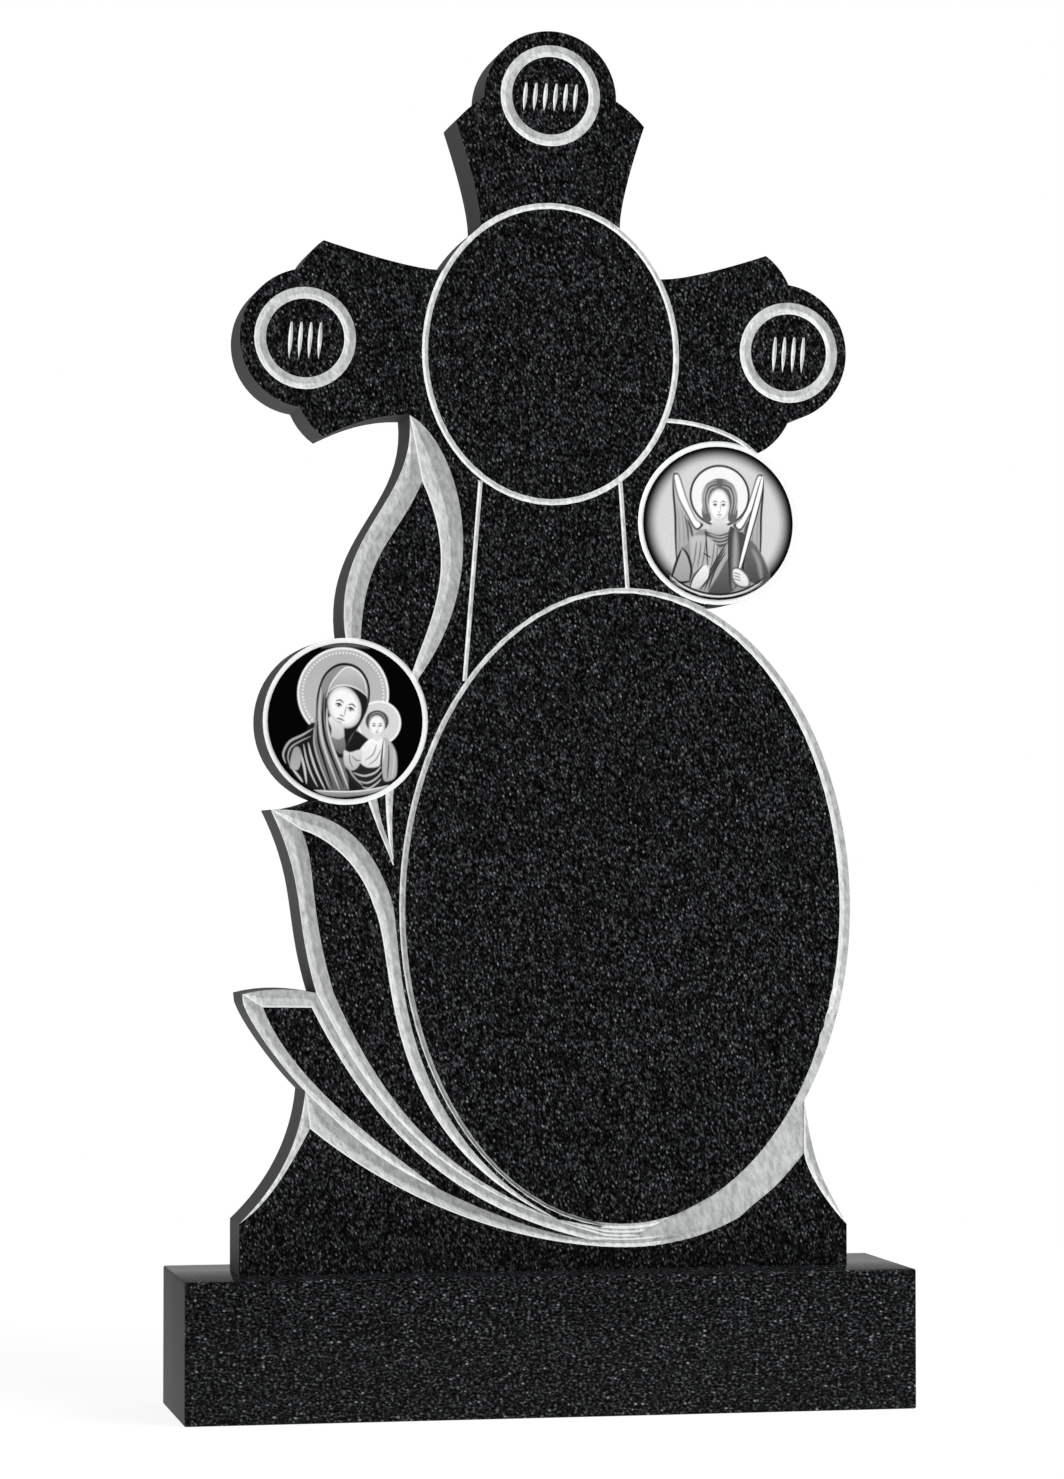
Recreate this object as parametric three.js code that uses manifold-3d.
import * as THREE from 'three';
import { ParametricGeometry } from 'three/addons/geometries/ParametricGeometry.js';
import { mergeVertices } from 'three/addons/utils/BufferGeometryUtils.js';
import Module from 'manifold-3d';

const wasm = await Module();
wasm.setup();

// Carved upright headstone, in millimetres. X is to the right, the carved face looks along -Y, Z is up.
// The slab is drawn in its front plane as (x, z) with z counted from its foot.

// plinth block
const plinthWidth = 712;
const plinthDepth = 180;
const plinthHeight = 135;
const plinthEase = 2;

// slab and its foot
const slabThickness = 70;
const slabHeight = 1204;
const slabOffset = 2;
const footHalfWidth = 299.5;
const footLeftHeight = 49.5;
const footRightHeight = 40;

// cross with three lobed ends; each arm spreads to an ear on either side below its lobe
const crossX = 2.5;
const armZ = 896;
const armHalfWidth = 69;
const armWaist = 0.28;
const sideShape = { radius: 67.5, notchAngle: 82, earSetback: 13.5, earHalfWidth: 95, earBulge: 5 };
const leftArm = { ...sideShape, turn: 180, x: crossX, z: 898.2, reach: 235.5 };
const rightArm = { ...sideShape, turn: 0, x: crossX, z: 895.1, reach: 230.6 };
const topShape = { radius: 65.5, notchAngle: 91, earSetback: 25.3, earHalfWidth: 93.5, earBulge: 3 };
const topArm = { ...topShape, turn: 90, x: 3.4, z: armZ, reach: slabHeight - topShape.radius - armZ };

// ring cut into each lobe, with a row of plain strokes inside it
const ringOffset = { top: 2.3, left: 4.3, right: 9.2 };
const ringRadius = 49.4;
const ringWidth = 11.3;
const strokeWidth = 4.2;
const strokeLean = 3;

// ovals, half width a and half height b
const upperOval = { x: 4.2, z: 888.4, a: 126.9, b: 146.8 };
const upperSpread = 0.7;
const upperBorder = 5.8;
const bigOval = { x: 79.3, z: 350.7, a: 224.4, b: 311 };
const bigField = { x: 76.9, z: 350.2, a: 216.3, b: 306.4 };

// medallions, each with a flat sunk rim
const medallionRadius = 80;
const medallionBand = 5.2;
const medallionSpread = 0.5;
const rimDepth = 1;
const leftMedallion = { x: -197.7, z: 529.8 };
const rightMedallion = { x: 171, z: 726 };
const leftMedallionArc = [90, 251];
const rightMedallionArc = [-98.7, 60];

// carved strips, cut as a vee that grows less steep as it grows wide
const steepness = 0.75;
const deepest = 8;
const faintest = 0.3;
const lift = 2;
const spread = 1;
const lineWidth = 4.2;

// broad band under the big oval
const bandDepth = 1.3;
const laneShares = [0, 0.22, 0.39, 0.55, 0.7, 1];
const laneSteps = 12;

const frontY = -slabThickness / 2;
const degrees = THREE.MathUtils.degToRad;
const at = (x, z) => new THREE.Vector2(x, z);
const line = (from, to) => new THREE.LineCurve(from, to);
const arc = (from, pull, to) => new THREE.QuadraticBezierCurve(from, pull, to);
const bend = (from, pull, push, to) => new THREE.CubicBezierCurve(from, pull, push, to);
const oval = (shape, grow, from, to) => new THREE.EllipseCurve(
  shape.x, shape.z, shape.a + grow, shape.b + grow, degrees(from), degrees(to), to < from);
const round = (centre, radius, from, to) => oval({ ...centre, a: radius, b: radius }, 0, from, to);

// points along a chain of curves, each given with its steps and the share of it that is used
function edge(...pieces) {
  const points = [];
  for (const [curve, steps, from = 0, to = 1] of pieces) {
    for (let i = 0; i <= steps; i += 1) {
      const point = curve.getPointAt(THREE.MathUtils.lerp(from, to, i / steps));
      if (!points.length || point.distanceTo(points.at(-1)) > 0.01) points.push(point);
    }
  }
  return points;
}

function solid(geometry) {
  geometry.deleteAttribute('normal');
  geometry.deleteAttribute('uv');
  const merged = mergeVertices(geometry, 1e-4);
  const spots = merged.attributes.position;
  const triangles = [];
  let volume = 0;
  for (let i = 0; i < merged.index.count; i += 3) {
    const corners = [0, 1, 2].map((k) => merged.index.getX(i + k));
    if (new Set(corners).size < 3) continue;
    const [a, b, c] = corners.map((k) => new THREE.Vector3().fromBufferAttribute(spots, k));
    volume += a.dot(b.cross(c));
    triangles.push(corners);
  }
  if (volume < 0) triangles.forEach((corners) => corners.reverse());
  return new wasm.Manifold(new wasm.Mesh({
    numProp: 3,
    vertProperties: Float32Array.from(spots.array),
    triVerts: Uint32Array.from(triangles.flat()),
  }));
}

// cutter for a vee between two edges with the same number of points: it can run past the first edge,
// along the whole of it or a number of steps, and grow faint at its ends
function groove(first, second, options = {}) {
  const { over = 0, overSteps = Infinity, fadeIn = 0, fadeOut = 0, closed = false } = options;
  const last = first.length - 1;
  const middles = first.map((point, i) => point.clone().add(second[i]).multiplyScalar(0.5));
  const stations = first.map((point, i) => {
    const across = point.clone().sub(second[i]);
    const along = middles[Math.min(i + 1, last)].clone().sub(middles[Math.max(i - 1, 0)]);
    let half = across.length() / 2;
    if (half < 0.05) across.set(along.y, -along.x);
    across.normalize();
    if (half < 0.05 && i < last && across.dot(first[i + 1].clone().sub(second[i + 1])) < 0) across.negate();
    const extra = i < overSteps ? over / 2 : 0;
    half += extra;
    const middle = middles[i].clone().addScaledVector(across, extra);
    const grown = Math.min(fadeIn ? i / fadeIn : 1, fadeOut ? (last - i) / fadeOut : 1);
    const share = Math.max(faintest, Math.min(1, grown));
    const depth = share * deepest * (1 - Math.exp(-half * steepness / deepest));
    const reach = half > 0 ? half + lift * half / depth : lift / steepness;
    const near = middle.clone().addScaledVector(across, reach);
    const far = middle.clone().addScaledVector(across, -reach);
    return [
      new THREE.Vector3(near.x, frontY - lift, near.y),
      new THREE.Vector3(middle.x, frontY + depth, middle.y),
      new THREE.Vector3(far.x, frontY - lift, far.y),
    ];
  });
  if (!closed) {
    const cap = (corners) => [0, 1, 2].map(() => corners[0].clone().lerp(corners[2], 0.5));
    stations.unshift(cap(stations[0]));
    stations.push(cap(stations.at(-1)));
  }
  const rows = stations.length - 1;
  const surface = (u, v, target) => target.copy(stations[Math.round(v * rows)][Math.round(u * 3) % 3]);
  return solid(new ParametricGeometry(surface, 3, rows));
}

// closed vee that follows an oval on its inside
function ovalGroove(shape, grow, width, steps) {
  const outer = edge([oval(shape, grow, 0, 360), steps]);
  const inner = edge([oval(shape, grow - width, 0, 360), steps]);
  return groove(outer, inner, { closed: true });
}

// plain vee line along a curve
function lineGroove(curve, steps, width) {
  const points = edge([curve, steps]);
  const shifted = (side) => points.map((point, i) => {
    const along = curve.getTangentAt(i / steps);
    return at(point.x - along.y * side, point.y + along.x * side);
  });
  return groove(shifted(width / 2), shifted(-width / 2));
}

// flat sunk area bounded by a chain of points
function sunk(points, depth) {
  const settings = { depth: depth + lift, bevelEnabled: false };
  const cut = new THREE.ExtrudeGeometry(new THREE.Shape(points), settings);
  cut.rotateX(Math.PI / 2);
  cut.translate(0, frontY + depth, 0);
  return solid(cut);
}

// one arm of the cross, turned about the middle of the cross; rootAt gives where each side leaves the oval
function makeArm(shape, rootAt) {
  const { turn, x, z, reach, radius, notchAngle, earSetback, earHalfWidth, earBulge } = shape;
  const spot = (along, side) => at(along, side).rotateAround(at(0, 0), degrees(turn)).add(at(x, z));
  const ear = reach - earSetback;
  const notch = reach + radius * Math.cos(degrees(notchAngle));
  const notchSide = radius * Math.sin(degrees(notchAngle));
  const swell = earBulge * Math.SQRT1_2;
  const flank = (side) => arc(
    spot(rootAt(side), side * armHalfWidth),
    spot(rootAt(side) + armWaist * (ear - rootAt(side)), side * armHalfWidth),
    spot(ear, side * earHalfWidth));
  const shoulder = (side) => arc(
    spot(ear, side * earHalfWidth),
    spot((ear + notch) / 2 + swell, side * ((earHalfWidth + notchSide) / 2 + swell)),
    spot(notch, side * notchSide));
  const centre = spot(reach, 0);
  const lobe = round({ x: centre.x, z: centre.y }, radius, turn - notchAngle, turn + notchAngle);
  return { spot, flank, tip: edge([shoulder(-1), 5], [lobe, 38], [shoulder(1), 5, 1, 0]) };
}

const ovalRun = (half, full) => Math.sqrt(1 - (half / full) ** 2);
const sideRun = (z) => upperOval.a * ovalRun(z - upperOval.z, upperOval.b);
const topRun = (side) => topArm.x + side * armHalfWidth - upperOval.x;
const topRoot = (side) => upperOval.z - armZ + upperOval.b * ovalRun(topRun(side), upperOval.a);
const right = makeArm(rightArm, (side) => sideRun(rightArm.z + side * armHalfWidth) + upperOval.x - crossX);
const top = makeArm(topArm, (side) => topRoot(-side));
const left = makeArm(leftArm, (side) => sideRun(leftArm.z - side * armHalfWidth) + crossX - upperOval.x);
const sideRise = ({ z }) => (z + armHalfWidth - upperOval.z) / upperOval.b;
const sideAngle = (arm) => THREE.MathUtils.radToDeg(Math.asin(sideRise(arm)));
const topAngle = (side) => THREE.MathUtils.radToDeg(Math.acos(topRun(side) / upperOval.a));

// first leaf, from under the left arm down behind the left medallion
const firstTip = at(-135.5, 826);
const firstApex = at(-123, 762);
const firstEnd = at(-155.2, 413.5);
const firstBase = at(-150.2, 391.5);
const firstHold = at(leftMedallion.x, leftMedallion.z + medallionRadius);
const firstLeft = bend(firstTip, at(-126.9, 740), at(-212.4, 715), firstHold);
const firstLeftLow = bend(firstHold, at(-202.5, 545), at(-191.8, 482.5), firstBase);
const firstLeftTurn = at(-183.2, 605.5);
const firstLeftField = bend(firstApex, at(-147.4, 703.5), at(-180, 697), firstLeftTurn);
const firstLeftFieldLow = bend(firstLeftTurn, at(-159.6, 559.5), at(-182.3, 470), firstEnd);
const firstRightHold = at(-126.5, 571.5);
const firstRight = bend(firstTip, at(-92.9, 805), at(-46.5, 681.5), firstRightHold);
const firstRightLow = bend(firstRightHold, at(-139, 501.5), at(-158, 493), firstBase);
const firstRightTurn = at(-133.2, 575.5);
const firstRightField = bend(firstApex, at(-82.9, 677), at(-118.7, 621.5), firstRightTurn);
const firstRightFieldLow = bend(firstRightTurn, at(-155, 523.5), at(-164, 483), firstEnd);

// second leaf, its stem running down beside the big oval
const secondTip = at(-270, 444.5);
const secondApex = at(-240, 425);
const secondEnd = at(8, 49.5);
const secondLeft = bend(secondTip, at(-234.3, 372.5), at(-248.3, 344), at(-225.5, 269));
const secondLeftTurn = at(-208.7, 268.5);
const secondLeftField = bend(secondApex, at(-224.6, 391), at(-234.5, 354.5), secondLeftTurn);
const secondLeftFieldLow = bend(secondLeftTurn, at(-159.8, 158.5), at(-102.4, 95), secondEnd);
const secondRightHold = at(-153.6, 361);
const secondRight = bend(secondTip, at(-208, 446.5), at(-173.8, 417.5), secondRightHold);
const secondRightEnd = at(11.4, 48.8);
const secondRightLow = bend(secondRightHold, at(-139.3, 332), at(-163.8, 143), secondRightEnd);
const secondRightTurn = at(-170.9, 354.5);
const secondRightField = bend(secondApex, at(-216.8, 418.5), at(-184.4, 395), secondRightTurn);
const secondRightFieldLow = bend(secondRightTurn, at(-144, 300.5), at(-175.5, 138), secondEnd);

// third leaf, lowest and longest
const thirdTip = at(-297, 268);
const thirdApex = at(-277, 255.5);
const thirdCorner = at(-225.5, 269);
const thirdFieldCorner = at(-230, 255);
const thirdEnd = at(42.5, 28.8);
const thirdTop = arc(thirdTip, at(-264, 276.5), thirdCorner);
const footNotch = at(-236, 175);
const thirdLeft = bend(thirdTip, at(-302, 257.5), at(-263.3, 202), footNotch);
const thirdRunOut = at(-107, 80.3);
const thirdLeftField = bend(thirdApex, at(-253.3, 191), at(-171.8, 128.5), thirdRunOut);
const thirdRightField = bend(thirdFieldCorner, at(-164.3, 125), at(-79.6, 58.5), thirdEnd);

// stem, broad band and foot
const footLeftApex = at(-231.5, 139.5);
const footRightApex = at(256.5, 110);
const footLeftCorner = at(-footHalfWidth, footLeftHeight);
const footLeft = bend(footNotch, at(-241, 118), at(-270.8, 76), footLeftCorner);
const footLeftField = bend(footLeftApex, at(-251.5, 101), at(-271.5, 68), footLeftCorner);
const ovalEdgeFrom = -37.7;
const ovalEdgeTo = 69.3;
const footRightTop = oval(bigOval, 0, ovalEdgeFrom, 0).getPoint(0);
const footRightCorner = at(footHalfWidth, footRightHeight);
const footRight = bend(footRightCorner, at(273, 89), at(267.5, 93), footRightTop);
const footRightField = bend(footRightCorner, at(286, 53), at(259.5, 88), footRightApex);
const stemRidge = bend(footNotch, at(-198.5, 137), at(-156.5, 100.5), thirdRunOut);
const stemHigh = bend(thirdRunOut, at(-59.2, 56.5), at(-6.4, 35.5), thirdEnd);
const bandFrom = at(59, 21.8);
const bandTo = at(191.6, 48.4);
const stemLow = bend(footLeftApex, at(-158.6, 79.5), at(-54.5, 29.5), bandFrom);
const bandLow = bend(bandFrom, at(115, 17.8), at(154.4, 29), bandTo);
const bandRise = bend(bandTo, at(221, 75.8), at(218.6, 64), footRightApex);

// lanes that the stems run together into, between the big oval and the lower edge of the band
const laneFrom = -95.5;
const laneTo = -66;
const laneRun = 0.8;
const laneTop = oval(bigField, 0, laneFrom, laneTo);
const laneSpot = (share, run) => laneTop.getPointAt(run).lerp(bandLow.getPointAt(run * laneRun), share);
const laneStart = (number) => laneSpot(laneShares[number], 0);
const lane = (number) => [{ getPointAt: (run) => laneSpot(laneShares[number], run) }, laneSteps];
const leafRidge = bend(thirdCorner, at(-160, 136), at(-89, 74), laneStart(3));

// outline of the slab, counter-clockwise from the left end of the foot
const leftArmLow = bend(left.tip.at(-1), at(-190, 818.5), at(-165, 826), firstTip);
const leftRim = round(leftMedallion, medallionRadius, ...leftMedallionArc);
const outline = edge(
  [line(at(-footHalfWidth, 0), at(footHalfWidth, 0)), 1],
  [footRight, 14],
  [oval(bigOval, 0, ovalEdgeFrom, ovalEdgeTo), 52],
  [round(rightMedallion, medallionRadius, ...rightMedallionArc), 34],
);
outline.push(...right.tip);
outline.push(...edge([right.flank(1), 10, 1, 0], [oval(upperOval, 0, sideAngle(rightArm), topAngle(1)), 8]));
outline.push(...edge([top.flank(-1), 10]).slice(1, -1));
outline.push(...top.tip);
outline.push(...edge(
  [top.flank(1), 10, 1, 0],
  [oval(upperOval, 0, topAngle(-1), 180 - sideAngle(leftArm)), 8],
  [left.flank(-1), 10]).slice(1, -1));
outline.push(...left.tip);
outline.push(...edge(
  [leftArmLow, 8],
  [firstLeft, 22],
  [leftRim, 34],
  [arc(leftRim.getPoint(1), at(-247, 444.5), secondTip), 5],
  [secondLeft, 16],
  [thirdTop, 7, 1, 0],
  [thirdLeft, 12],
  [footLeft, 16],
).slice(1));
outline[0].set(-footHalfWidth, 0);
const corners = outline.filter((point, i) => point.distanceTo(outline[(i + 1) % outline.length]) > 0.01);

const slabSettings = { depth: slabThickness, bevelEnabled: false };
const blank = new THREE.ExtrudeGeometry(new THREE.Shape(corners), slabSettings);
blank.rotateX(Math.PI / 2);
blank.translate(0, slabThickness / 2, 0);
let stele = solid(blank);

// strips beside the leaves; each leaf has one on either side, meeting in a ridge below its tip
const firstRidge = [line(firstTip, firstApex), 7];
const firstTail = [line(firstEnd, firstBase), 4];
const strips = [
  groove(
    edge(
      [firstLeft, 7, 0, 0.27],
      [firstLeft, 19, 0.27, 1],
      [firstLeftLow, 19, 0, 0.87],
      [firstLeftLow, 4, 0.87, 1]),
    edge(firstRidge, [firstLeftField, 19], [firstLeftFieldLow, 19], firstTail),
    { over: spread }),
  groove(
    edge(
      [firstRight, 7, 0, 0.24],
      [firstRight, 23, 0.24, 1],
      [firstRightLow, 15, 0, 0.86],
      [firstRightLow, 4, 0.86, 1]),
    edge(firstRidge, [firstRightField, 23], [firstRightFieldLow, 15], firstTail)),
  groove(
    edge([secondLeft, 6, 0, 0.2], [secondLeft, 14, 0.2, 1], [leafRidge, 40], lane(3)),
    edge(
      [line(secondTip, secondApex), 6],
      [secondLeftField, 14],
      [secondLeftFieldLow, 34],
      [line(secondEnd, laneStart(2)), 6],
      lane(2)),
    { over: spread, overSteps: 20, fadeOut: laneSteps }),
  groove(
    edge(
      [secondRight, 5, 0, 0.2],
      [secondRight, 13, 0.2, 1],
      [secondRightLow, 34],
      [line(secondRightEnd, laneStart(1)), 6],
      lane(1)),
    edge(
      [line(secondTip, secondApex), 5],
      [secondRightField, 13],
      [secondRightFieldLow, 34],
      [line(secondEnd, laneStart(2)), 6],
      lane(2)),
    { fadeOut: laneSteps }),
  groove(
    edge([thirdTop, 3, 0, 0.3], [thirdTop, 6, 0.3, 1], [leafRidge, 40], lane(3)),
    edge(
      [line(thirdTip, thirdApex), 3],
      [line(thirdApex, thirdFieldCorner), 6],
      [thirdRightField, 38],
      [line(thirdEnd, laneStart(4)), 2],
      lane(4)),
    { over: spread, overSteps: 9, fadeOut: laneSteps }),
  groove(
    edge([thirdLeft, 4, 0, 0.2], [thirdLeft, 10, 0.2, 1], [stemRidge, 16]),
    edge([line(thirdTip, thirdApex), 4], [thirdLeftField, 26]),
    { over: spread, overSteps: 14 }),
  groove(
    edge([stemRidge, 16], [stemHigh, 18], [line(thirdEnd, laneStart(4)), 2], lane(4)),
    edge([line(footNotch, footLeftApex), 4], [stemLow, 32], lane(5)),
    { fadeOut: laneSteps }),
  groove(
    edge([footLeft, 4, 0, 0.22], [footLeft, 12, 0.22, 1]),
    edge([line(footNotch, footLeftApex), 4], [footLeftField, 12]),
    { over: spread }),
  groove(
    edge([footRight, 10, 0, 0.68], [footRight, 5, 0.68, 1]),
    edge([footRightField, 10], [line(footRightApex, footRightTop), 5]),
    { over: spread }),
];

// borders of the ovals and the thin lines between them
const borderFrom = -34;
const borderTo = -20;
const borderSteps = 72;
const borderFade = 6;
const borderOver = 28;
strips.push(
  ovalGroove(upperOval, upperSpread, upperBorder, 60),
  groove(
    edge([oval(bigOval, 0, borderFrom, 359 + laneFrom), borderSteps - 1], lane(1)),
    edge([oval(bigField, 0, borderFrom, 360 + laneFrom), borderSteps], lane(0)),
    { over: spread, overSteps: borderOver, fadeIn: borderFade, fadeOut: laneSteps }),
  lineGroove(line(at(-65.7, 764), at(-81.3, 569.3)), 1, lineWidth),
  lineGroove(line(at(72.9, 765), at(80.1, 659)), 1, lineWidth),
  lineGroove(bend(at(119.4, 825.8), at(156.5, 824.4), at(189.4, 812.9), at(206.3, 796.8)), 10, lineWidth),
);

// flat band that opens where the lanes run out and narrows again along the right edge
const bandStart = laneSpot(0.5, 0.25);
strips.push(sunk(edge(
  [arc(bandStart, laneSpot(0.9, 0.6), laneSpot(1, 1)), 8],
  [bandLow, 4, laneRun, 1],
  [bandRise, 8],
  [line(footRightApex, footRightTop), 2],
  [oval(bigOval, spread, ovalEdgeFrom, borderTo), 6],
  [oval(bigField, 0, borderTo, laneTo), 16],
  [arc(laneSpot(0, 1), laneSpot(0.1, 0.6), bandStart), 8],
).slice(0, -1), bandDepth));

// medallions stand over the strips, each with a shallow flat rim
for (const centre of [leftMedallion, rightMedallion]) {
  const rimOuter = medallionRadius + medallionSpread;
  const held = rimOuter - 0.1;
  const plug = new THREE.CylinderGeometry(held, held, slabThickness * 2, 56);
  plug.translate(centre.x, 0, centre.z);
  const kept = solid(plug);
  strips.forEach((strip, i) => { strips[i] = strip.subtract(kept); });
  const rim = new THREE.LatheGeometry([
    at(rimOuter - medallionBand, frontY - lift),
    at(rimOuter, frontY - lift),
    at(rimOuter, frontY + rimDepth),
    at(rimOuter - medallionBand, frontY + rimDepth),
    at(rimOuter - medallionBand, frontY - lift),
  ], 56);
  rim.translate(centre.x, 0, centre.z);
  strips.push(solid(rim));
}

// rings on the lobes, each around a row of leaning strokes
const lobes = [
  { centre: top.spot(topArm.reach + ringOffset.top, 0), count: 6, pitch: 10, height: 31 },
  { centre: left.spot(leftArm.reach + ringOffset.left, 0), count: 4, pitch: 9.5, height: 40 },
  { centre: right.spot(rightArm.reach + ringOffset.right, 0), count: 4, pitch: 9.5, height: 40 },
];
for (const { centre, count, pitch, height } of lobes) {
  strips.push(ovalGroove({ x: centre.x, z: centre.y, a: ringRadius, b: ringRadius }, 0, ringWidth, 40));
  for (let i = 0; i < count; i += 1) {
    const x = centre.x + (i - (count - 1) / 2) * pitch;
    const foot = at(x - strokeLean / 2, centre.y - height / 2);
    const head = at(x + strokeLean / 2, centre.y + height / 2);
    strips.push(groove(
      edge([arc(foot, at(x - strokeWidth, centre.y), head), 6]),
      edge([arc(foot, at(x + strokeWidth, centre.y), head), 6])));
  }
}

for (const strip of strips) stele = stele.subtract(strip);

// plinth with all its edges eased
const half = at(plinthWidth / 2, plinthDepth / 2);
const plan = new THREE.Shape([
  at(-half.x, -half.y),
  at(half.x, -half.y),
  at(half.x, half.y),
  at(-half.x, half.y),
]);
const block = new THREE.ExtrudeGeometry(plan, {
  depth: plinthHeight - 2 * plinthEase,
  bevelThickness: plinthEase,
  bevelSize: plinthEase,
  bevelOffset: -plinthEase,
  bevelSegments: 2,
});
block.translate(0, 0, plinthEase);

function node(name, body, color, roughness) {
  const { vertProperties, triVerts } = body.getMesh();
  const geometry = new THREE.BufferGeometry();
  geometry.setAttribute('position', new THREE.BufferAttribute(vertProperties, 3));
  geometry.setIndex(new THREE.BufferAttribute(triVerts, 1));
  const material = new THREE.MeshStandardMaterial({ color, roughness, metalness: 0, flatShading: true });
  const mesh = new THREE.Mesh(geometry, material);
  mesh.name = name;
  return mesh;
}

const steleNode = node('stele', stele, 0x1e1f20, 0.2);
steleNode.geometry.translate(slabOffset, 0, plinthHeight);
const headstone = new THREE.Group();
headstone.name = 'headstone';
headstone.add(steleNode, node('plinth', solid(block), 0x262728, 0.25));

export default headstone;
